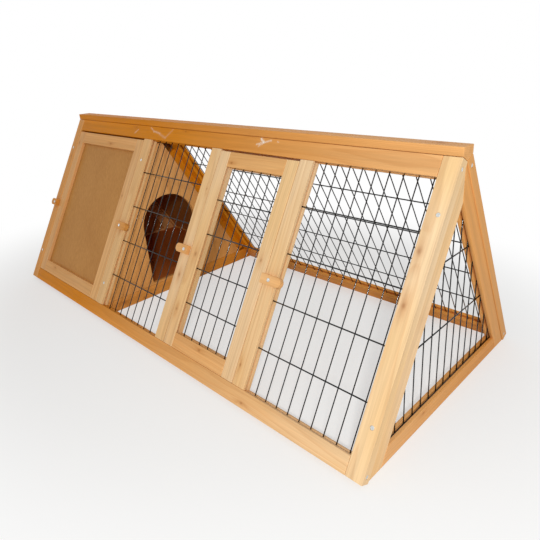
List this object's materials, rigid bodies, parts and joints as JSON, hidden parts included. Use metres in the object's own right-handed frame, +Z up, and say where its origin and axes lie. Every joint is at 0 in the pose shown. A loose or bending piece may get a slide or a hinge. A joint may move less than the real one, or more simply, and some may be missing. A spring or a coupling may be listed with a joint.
{
  "type": "outdoor rabbit run",
  "caption": "A-frame outdoor rabbit run in pine: a solid-walled nest behind a lift-out door, a welded-mesh run with its own door, an arched divider between them and four turn-buttons.",
  "frame": {"origin": "centre of the footprint, on the ground", "axes": "+X along the ridge towards the wire end, -Y is the front with the doors, +Z up"},
  "size_m": [1.18, 0.5072, 0.4346],
  "materials": {
    "pale_pine": "planed, lightly oiled",
    "stained_pine": "planed, honey stain",
    "exterior_plywood": "flat, warm brown",
    "black_coated_wire": "black powder coat on welded steel wire",
    "zinc_screw": "bright zinc"
  },
  "bodies": {
    "run": {"back_bottom_rail": "pale_pine", "back_left_stile": "pale_pine", "back_mesh": "black_coated_wire", "back_nest_panel": "exterior_plywood", "back_nest_post": "pale_pine", "back_right_stile": "pale_pine", "back_top_rail": "stained_pine", "divider_back_batten": "stained_pine", "divider_bottom_rail": "stained_pine", "divider_front_batten": "stained_pine", "divider_panel": "pale_pine", "floor_bearer_left": "stained_pine", "floor_bearer_right": "stained_pine", "front_bottom_rail": "pale_pine", "front_door_post_left": "pale_pine", "front_door_post_right": "pale_pine", "front_left_mesh": "black_coated_wire", "front_left_stile": "pale_pine", "front_nest_post": "pale_pine", "front_right_mesh": "black_coated_wire", "front_right_stile": "pale_pine", "front_top_rail": "stained_pine", "left_end_back_leg": "pale_pine", "left_end_bottom_rail": "pale_pine", "left_end_front_leg": "pale_pine", "left_end_panel": "exterior_plywood", "left_lower_frame_screw": "zinc_screw", "left_upper_frame_screw": "zinc_screw", "nest_button_left_screw": "zinc_screw", "nest_button_right_screw": "zinc_screw", "nest_door_stop": "stained_pine", "nest_floor_back": "exterior_plywood", "nest_floor_front": "exterior_plywood", "nest_lower_frame_screw": "zinc_screw", "nest_upper_frame_screw": "zinc_screw", "ridge_beam": "stained_pine", "right_end_back_leg": "pale_pine", "right_end_bottom_rail": "pale_pine", "right_end_front_leg": "pale_pine", "right_end_mesh": "black_coated_wire", "right_lower_frame_screw": "zinc_screw", "right_upper_frame_screw": "zinc_screw", "run_button_left_screw": "zinc_screw", "run_button_right_screw": "zinc_screw", "run_door_stop_left": "stained_pine", "run_door_stop_right": "stained_pine"},
    "nest_door": {"nest_door_bottom_rail": "pale_pine", "nest_door_left_stile": "pale_pine", "nest_door_panel": "exterior_plywood", "nest_door_right_stile": "pale_pine", "nest_door_top_rail": "pale_pine"},
    "run_door": {"run_door_bottom_rail": "pale_pine", "run_door_left_stile": "pale_pine", "run_door_mesh": "black_coated_wire", "run_door_right_stile": "pale_pine", "run_door_top_rail": "pale_pine"},
    "nest_button_left": {"nest_button_left": "stained_pine"},
    "nest_button_right": {"nest_button_right": "stained_pine"},
    "run_button_left": {"run_button_left": "stained_pine"},
    "run_button_right": {"run_button_right": "stained_pine"}
  },
  "joints": [
    {"name": "nest_door_tilt", "type": "hinge", "parent": "run", "child": "nest_door", "pos_m": [-0.389, -0.23844, 0.03524], "axis": [1, 0, 0], "range_deg": [0, 110]},
    {"name": "run_door_tilt", "type": "hinge", "parent": "run", "child": "run_door", "pos_m": [0.188, -0.23844, 0.03524], "axis": [1, 0, 0], "range_deg": [0, 110]},
    {"name": "nest_button_left_turn", "type": "hinge", "parent": "run", "child": "nest_button_left", "pos_m": [-0.5705, -0.14525, 0.20626], "axis": [0, -0.866, 0.5], "range_deg": [0, 180]},
    {"name": "nest_button_right_turn", "type": "hinge", "parent": "run", "child": "nest_button_right", "pos_m": [-0.198, -0.14525, 0.20626], "axis": [0, -0.866, 0.5], "range_deg": [0, 180]},
    {"name": "run_button_left_turn", "type": "hinge", "parent": "run", "child": "run_button_left", "pos_m": [0.068, -0.14525, 0.20626], "axis": [0, -0.866, 0.5], "range_deg": [0, 180]},
    {"name": "run_button_right_turn", "type": "hinge", "parent": "run", "child": "run_button_right", "pos_m": [0.318, -0.14525, 0.20626], "axis": [0, -0.866, 0.5], "range_deg": [0, 180]}
  ]
}
